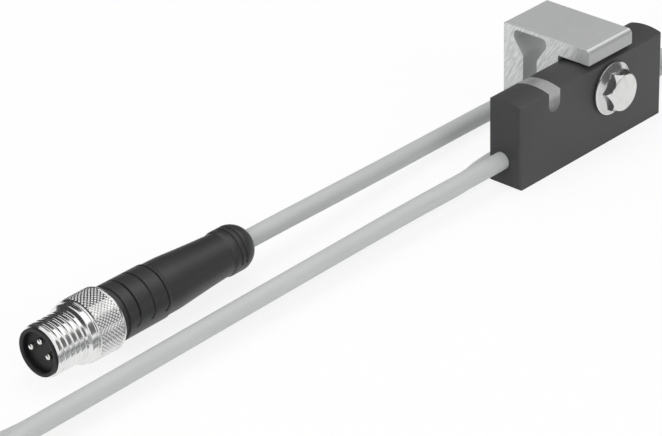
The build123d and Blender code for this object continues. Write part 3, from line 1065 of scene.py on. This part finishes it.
@dataclass
class CouplingNut:
    """The plug's nut: outside thread with a run-out, stepped shoulder, diamond-knurled grip.

    Stations are in millimetres from the plug's front face. The thread's lead-in is its phase in
    turns, and its flank rises between two shares of half a pitch. The knurl is flat from a share
    of its height. The skin is how far below the root or the grip a point is still cut, so that
    the bore stays round.
    """

    front: Place
    bore: float = 3.25
    thread_start: float = 0.43
    thread_end: float = 5.88
    pitch: float = 1.0
    lead_in: float = 0.44
    flank: tuple[float, float] = (0.08, 0.56)
    root: float = 3.78
    crest: float = 3.99
    grip_start: float = 7.75
    grip_end: float = 12.23
    grip: float = 4.88
    end: float = 12.85
    diamonds: int = 48
    diamond_length: float = 0.64
    knurl_depth: float = 0.15
    knurl_margin: float = 0.16
    flat_from: float = 0.68
    skin: float = 0.1
    segments: int = 288
    sharp: float = 40

    def _profile(self) -> Profile:
        """Half section, from the bore's front round the outside and back through the bore.

        Returns:
            Its (station, radius) points.
        """
        thread = evenly([
            (self.thread_start, self.root - 0.02), (self.thread_start + 0.34, self.crest),
            (self.thread_end, self.crest),
        ], self.pitch / 18)
        shoulder = [
            (5.95, 3.99), (6.02, 4.0), (6.06, 4.04), (6.31, 4.47), (6.37, 4.54), (6.45, 4.57), (6.62, 4.585),
            (7.20, 4.60), (7.24, 4.53), (7.32, 4.53), (7.36, 4.62), (7.43, 4.68), (7.56, 4.70), (7.62, 4.69),
            (7.68, 4.73),
        ]
        grip = evenly([(self.grip_start, self.grip), (self.grip_end, self.grip)], self.diamond_length / 6)
        rear = [(12.34, 4.875), (12.48, 4.84), (12.62, 4.76), (12.74, 4.64), (12.82, 4.50), (self.end, 4.35)]
        inside = [(self.end, 4.08), (self.end - 0.4, 3.9), (self.end - 0.4, self.bore)]
        return [(self.thread_start, self.bore), *thread, *shoulder, *grip, *rear, *inside]

    def _tree(self) -> Graph:
        """Cuts the thread and the knurl into the turned surface.

        Returns:
            The geometry tree.
        """
        graph, given, station, y, z = geometry_tree("turned_nut", {
            "Thread End": self.thread_end * MM, "Pitch": self.pitch * MM, "Root": self.root * MM,
            "Crest": self.crest * MM, "Lead In": self.lead_in, "Grip Start": self.grip_start * MM,
            "Grip End": self.grip_end * MM, "Diamonds": float(self.diamonds),
            "Diamond Length": self.diamond_length * MM, "Knurl Depth": self.knurl_depth * MM,
            "Knurl Margin": self.knurl_margin * MM, "Flat From": self.flat_from,
        }, self.front)
        radius = from_axis(y, z)
        angle = z.math("ARCTAN2", y) / (2 * math.pi)

        root = given.out("Root")
        turns = station / given.out("Pitch") - angle - given.out("Lead In")
        cut = root + (given.out("Crest") - root) * turns.ridge().step(*self.flank)
        threaded = (station < given.out("Thread End")) * (radius > (self.root - self.skin) * MM)
        thread_radius = radius.smaller(cut)

        into = station - given.out("Grip Start")
        margin, full = given.out("Knurl Margin"), given.out("Knurl Depth")
        across = angle * given.out("Diamonds")
        along = into / given.out("Diamond Length")
        peak = (across + along).ridge().smaller((across - along).ridge())
        peak = (peak / given.out("Flat From")).smaller(1.0)
        rise = (into / margin).held()
        fall = ((given.out("Grip End") - station) / margin).held()
        gripped = radius > (self.grip - self.skin) * MM
        knurl = full * (1 - peak) * rise * fall * gripped

        scale = (radius - knurl + threaded * (thread_radius - radius)) / radius
        # The cut is kept as the hollow that the plating paints shade into; the thread counts for less.
        depth = (knurl + 0.3 * threaded * (radius - thread_radius)) / full
        close_geometry(graph, given, (station, y * scale, z * scale), depth)
        return graph

    def build(self, material: Material) -> None:
        """Args:
            material: its plating.
        """
        base = lathe("coupling_nut_turned", self._profile(), self.front, self.segments)
        mesh = grown(self._tree(), base, material, self.sharp)
        new_piece("coupling_nut_turned", mesh, "nut", ["coupling_nut"])


@dataclass
class GripBoot:
    """The plug's moulded boot, with ring grooves whose ends hook towards the nut.

    Stations are in millimetres from the plug's front face. The grooves hook and fade with the
    angle below the level, in degrees. The collar's grooves have shares of the body's width and
    depth, and only what lies beyond the outside radius is pressed in.
    """

    front: Place
    first: float = 16.0
    spacing: float = 2.87
    grooves: int = 3
    groove_width: float = 0.40
    groove_depth: float = 0.26
    collar_first: float = 37.5
    collar_spacing: float = 1.0
    collar_grooves: int = 2
    collar_width: float = 1.3
    collar_depth: float = 0.9
    hook: float = 0.8
    hook_start: float = -5.0
    hook_span: float = 21.0
    fade: tuple[float, float] = (13.0, 17.0)
    outside: float = 3.2
    segments: int = 160
    sharp: float = 48

    def _profile(self) -> Profile:
        """Half section, from the front round the outside to the mouth and back along the bore.

        Returns:
            Its (station, radius) points.
        """
        neck = [(12.92, 4.0), (12.97, 4.05), (13.95, 4.05), (13.97, 4.18), (14.0, 4.27), (14.06, 4.31)]
        body = evenly([(14.2, 4.32), (22.1, 4.275)], 0.066)
        step = [(22.2, 4.265), (22.26, 4.22), (22.3, 4.14), (22.36, 4.12)]
        taper = evenly([(22.6, 4.12), (25.0, 4.08)], 0.4)
        waist = [(25.6, 4.055), (27.0, 3.96), (29.0, 3.81), (31.0, 3.67), (33.0, 3.54), (35.4, 3.41)]
        rise = [(35.8, 3.39), (36.0, 3.39), (36.12, 3.41), (36.24, 3.47), (36.36, 3.54), (36.5, 3.575)]
        collar = evenly([(36.64, 3.585), (39.0, 3.58)], 0.066)
        end = [
            (39.4, 3.52), (39.8, 3.39), (40.2, 3.22), (40.6, 2.98), (40.9, 2.72), (41.15, 2.44),
            (41.32, 2.2), (41.4, 1.98), (41.4, 1.56), (41.3, 1.47),
        ]
        bore = [(13.2, 1.47), (12.92, 1.6)]
        return neck + body + step + taper + evenly(waist, 0.4) + rise + collar + end + bore

    @staticmethod
    def _row(given: Wire, along: Wire, row: str, wide: float = 1.0) -> Wire:
        """A row of equal grooves.

        Args:
            given: the tree's group input.
            along: station of each point.
            row: first word of the inputs that place the row.
            wide: width of its grooves, as a share of the tree's Width.

        Returns:
            How deep each point lies in a groove, from 0 to 1.
        """
        first, spacing = given.out(f"{row} First"), given.out(f"{row} Spacing")
        index = ((along - first) / spacing).math("ROUND")
        index = index.larger(0.0).smaller(given.out(f"{row} Grooves") - 1)
        off = abs(along - first - index * spacing)
        return 1 - (off / (given.out("Width") * (wide / 2))).step(0.15, 1.0)

    def _tree(self) -> Graph:
        """Presses the grooves into the turned surface.

        Returns:
            The geometry tree.
        """
        graph, given, station, y, z = geometry_tree("grip_boot", {
            "Body First": self.first * MM, "Body Spacing": self.spacing * MM,
            "Body Grooves": float(self.grooves), "Collar First": self.collar_first * MM,
            "Collar Spacing": self.collar_spacing * MM, "Collar Grooves": float(self.collar_grooves),
            "Width": self.groove_width * MM, "Depth": self.groove_depth * MM, "Hook": self.hook * MM,
        }, self.front)
        radius = from_axis(y, z)
        below = (-z / radius).math("ARCSINE") * (180 / math.pi)
        reach = (1 - below.step(*self.fade)) * (radius > self.outside * MM)
        bend = ((below - self.hook_start) / self.hook_span).larger(0.0)
        body = self._row(given, station + given.out("Hook") * bend * bend, "Body")
        collar = self._row(given, station, "Collar", self.collar_width)
        depth = given.out("Depth") * (body + self.collar_depth * collar) * reach
        scale = (radius - depth) / radius
        close_geometry(graph, given, (station, y * scale, z * scale), depth / given.out("Depth"))
        return graph

    def build(self, material: Material) -> None:
        """Args:
            material: its plastic.
        """
        base = lathe("grip_boot", self._profile(), self.front, self.segments)
        mesh = grown(self._tree(), base, material, self.sharp)
        new_piece("grip_boot", mesh, "switch", ["plug_boot"])


@dataclass
class Plug:
    """Three-pin plug: contact carrier, pins, coupling nut and moulded boot."""

    front: Place = (-103.8 * MM, 12.25 * MM, 4.9 * MM)
    recess: float = 3.06 * MM

    def build(self) -> None:
        """Turn the boot and the nut, and dress the plug's other pieces."""
        # The boot's grooves are darkened as painted shade.
        boot = Moulded(
            "boot_plastic", (0.028, 0.028, 0.0285), roughness=0.46, mottle=0.10, specular=0.65, groove=0.9
        )
        GripBoot(self.front).build(boot.make())
        # The contact carrier's recess gets painted shade.
        carrier = Moulded(
            "carrier_plastic", (0.018, 0.018, 0.0185), specular=0.3, shaded_well=self.recess, centre=self.front
        )
        dress("contact_carrier", carrier.make())
        pin = Plated("contact_plate", (0.84, 0.83, 0.80), 0.12, Turning.ALONG_X, self.front).make()
        for node in ("contact_pin_1", "contact_pin_3", "contact_pin_4"):
            dress(node, pin)
        # The nut's plating paints shade into its thread and knurl.
        nut = Plated("nut_plate", (0.84, 0.84, 0.835), 0.14, Turning.ALONG_X, self.front, groove=0.06)
        CouplingNut(self.front).build(nut.make())
        for name, shade in CORES.items():
            dress(f"plug_wire_{name}", PlainPart(f"{name}_core", shade).make())


def main() -> None:
    """Build every piece in order."""
    logging.basicConfig(level=logging.INFO, format="%(name)s %(message)s")
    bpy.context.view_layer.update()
    bpy.context.scene.view_settings.view_transform = "Standard"
    for part in (Camera(), Studio(), SwitchHead(), Plug(), Cable()):
        part.build()
    bpy.context.view_layer.update()


if __name__ == "__main__":
    main()
